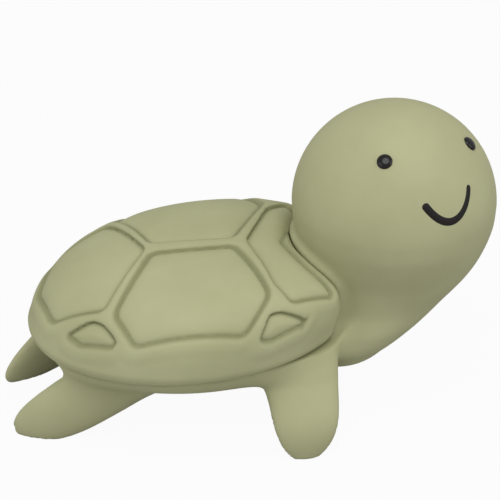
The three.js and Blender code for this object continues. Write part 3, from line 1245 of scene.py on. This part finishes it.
BODY_RUBBER = Finish(
    "sage_rubber_body",
    light=(0.44, 0.441, 0.255, 1),
    dark=(0.4, 0.398, 0.225, 1),
    roughness=(0.58, 0.74),
    specular=0.25,
)
SHELL_RUBBER = Finish(
    "sage_rubber_shell",
    light=(0.44, 0.441, 0.257, 1),
    dark=(0.395, 0.396, 0.221, 1),
    roughness=(0.58, 0.74),
    specular=0.25,
    # Shade painted into the plates' creases
    creased=True,
)
EYE_GLOSS = Finish(
    "black_gloss",
    light=(0.013, 0.012, 0.012, 1),
    dark=(0.01, 0.009, 0.009, 1),
    roughness=(0.05, 0.1),
    bump=0.005,
    specular=0.3,
)
SMILE_SATIN = Finish(
    "black_satin",
    light=(0.014, 0.012, 0.011, 1),
    dark=(0.01, 0.009, 0.009, 1),
    roughness=(0.5, 0.62),
    bump=0.02,
    specular=0.2,
)
CAPSULE_PLASTIC = Finish(
    "natural_plastic",
    light=(0.8, 0.77, 0.69, 1),
    dark=(0.76, 0.73, 0.65, 1),
    roughness=(0.35, 0.5),
    bump=0.03,
)
BEAD_STEEL = Finish(
    "tumbled_steel",
    light=(0.58, 0.58, 0.57, 1),
    dark=(0.5, 0.5, 0.49, 1),
    roughness=(0.2, 0.36),
    bump=0.06,
    metallic=1.0,
)


def view_axes(azimuth: float, elevation: float) -> tuple[Vector, Vector, Vector]:
    """Give the axes of a look at the turtle.

    Args:
        azimuth: Angle round from the turtle's right side, in degrees.
        elevation: Angle above level, in degrees.

    Returns:
        Directions to the right, up and back to the onlooker.
    """
    a, e = math.radians(azimuth), math.radians(elevation)
    right = Vector((math.cos(a), math.sin(a), 0))
    up = Vector((-math.sin(a) * math.sin(e), math.cos(a) * math.sin(e), math.cos(e)))
    back = Vector((math.sin(a) * math.cos(e), -math.cos(a) * math.cos(e), math.sin(e)))
    return right, up, back


@dataclass(frozen=True)
class Lamp:
    """Soft round lamp, placed by direction from the turtle."""

    name: str
    azimuth: float
    elevation: float
    distance: float
    size: float
    power: float

    def build(self, target: Vector) -> None:
        """Place the lamp facing the turtle.

        Args:
            target: Place that it faces.
        """
        light = bpy.data.lights.new(self.name, "AREA")
        light.shape = "DISK"
        light.size = self.size
        light.energy = self.power
        lamp = linked(self.name, light)
        away = view_axes(self.azimuth, self.elevation)[2]
        lamp.location = target + away * self.distance
        lamp.rotation_euler = away.to_track_quat("Z", "Y").to_euler()


@dataclass
class Studio:
    """White floor, even sky, soft lamps and the camera."""

    target: Vector = field(default_factory=lambda: Vector((0.000017, 0.0, 0.039)))
    azimuth: float = -10.0
    elevation: float = 30.0
    distance: float = 0.62
    lens: float = 183.5
    sky: float = 0.52
    floor_half: float = 3.0
    floor_white: float = 0.95
    lamps: tuple[Lamp, ...] = (
        Lamp("key", -10.0, 68.0, 0.8, 0.6, 2.75),
        Lamp("fill", 60.0, 28.0, 0.9, 0.7, 1.65),
        Lamp("left", -65.0, 25.0, 0.9, 0.7, 1.15),
        Lamp("glint", -100.0, 14.0, 0.9, 0.12, 0.2),
    )

    def camera(self) -> None:
        """Set the camera where the photograph's outline fits."""
        lens = bpy.data.cameras.new("camera")
        lens.lens = self.lens
        lens.sensor_width = 36.0
        lens.clip_start = 0.01
        view = linked("camera", lens)
        right, up, back = view_axes(self.azimuth, self.elevation)
        turn = Matrix((right, up, back)).transposed().to_4x4()
        view.matrix_world = Matrix.Translation(self.target + back * self.distance) @ turn
        bpy.context.scene.camera = view

    def floor(self) -> None:
        """Lay a plain white floor that keeps the soft shadow."""
        half = self.floor_half
        mesh = bpy.data.meshes.new("floor")
        corners = [(-half, -half, 0), (half, -half, 0), (half, half, 0), (-half, half, 0)]
        mesh.from_pydata(corners, [], [(0, 1, 2, 3)])
        ground = linked("floor", mesh)
        white = bpy.data.materials.new("floor_white")
        white.use_nodes = True
        nodes, links = white.node_tree.nodes, white.node_tree.links
        shader = nodes["Principled BSDF"]
        shader.inputs["Base Color"].default_value = (0.5, 0.5, 0.5, 1)
        shader.inputs["Roughness"].default_value = 0.9
        shader.inputs["Specular IOR Level"].default_value = 0.1
        glow = nodes.new("ShaderNodeEmission")
        path = nodes.new("ShaderNodeLightPath")
        share = nodes.new("ShaderNodeMapRange")
        share.inputs["To Max"].default_value = self.floor_white
        mix = nodes.new("ShaderNodeMixShader")
        links.new(path.outputs["Is Camera Ray"], share.inputs["Value"])
        links.new(share.outputs["Result"], mix.inputs[0])
        links.new(shader.outputs["BSDF"], mix.inputs[1])
        links.new(glow.outputs["Emission"], mix.inputs[2])
        links.new(mix.outputs["Shader"], nodes["Material Output"].inputs["Surface"])
        mesh.materials.append(white)

    def build(self) -> None:
        """Set up sky, floor, lamps and camera."""
        scene = bpy.context.scene
        scene.view_settings.view_transform = "Standard"
        world = bpy.data.worlds.new("sky")
        world.use_nodes = True
        backdrop = world.node_tree.nodes["Background"]
        backdrop.inputs["Color"].default_value = (1, 1, 1, 1)
        path = world.node_tree.nodes.new("ShaderNodeLightPath")
        level = world.node_tree.nodes.new("ShaderNodeMapRange")
        level.inputs["To Min"].default_value = self.sky
        level.inputs["To Max"].default_value = 1.0
        world.node_tree.links.new(path.outputs["Is Camera Ray"], level.inputs["Value"])
        world.node_tree.links.new(level.outputs["Result"], backdrop.inputs["Strength"])
        scene.world = world
        self.floor()
        for lamp in self.lamps:
            lamp.build(self.target)
        self.camera()


@dataclass
class Turtle:
    """Whole toy: visible skin, shell and face, and the rattle that stays as packed."""

    head: HeadAndNeck = field(default_factory=HeadAndNeck)

    @staticmethod
    def dress(piece: bpy.types.Object, material: bpy.types.Material) -> None:
        """Give a piece its one material and report it.

        Args:
            piece: Piece to dress.
            material: Look of the whole piece.
        """
        piece.data.materials.clear()
        piece.data.materials.append(material)
        LOG.info("%s: %d vertices in %s", piece.name, len(piece.data.vertices), material.name)

    def build(self, nodes: dict[str, bpy.types.Object]) -> None:
        """Build and dress every piece.

        Args:
            nodes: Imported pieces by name.
        """
        grain = Grain().group()
        face = Face(self.head)
        shell = Carapace(self.head)
        self.dress(BodySkin(self.head, shell).build(), BODY_RUBBER.material(grain))
        self.dress(shell.build(), SHELL_RUBBER.material(grain))
        self.dress(face.smile(), SMILE_SATIN.material(grain))
        gloss = EYE_GLOSS.material(grain)
        for name, side in (("eye_right", Side.RIGHT), ("eye_left", Side.LEFT)):
            self.dress(face.eye(name, side), gloss)
        plastic, steel = CAPSULE_PLASTIC.material(grain), BEAD_STEEL.material(grain)
        for name, node in nodes.items():
            if name.startswith("rattle"):
                self.dress(node, steel if "bead" in name else plastic)


def main() -> None:
    """Load the frame, build the turtle over it and note the sizes."""
    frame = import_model()
    Turtle().build(frame["nodes"])
    Studio().build()


if __name__ == "__main__":
    logging.basicConfig(level=logging.INFO)
    main()
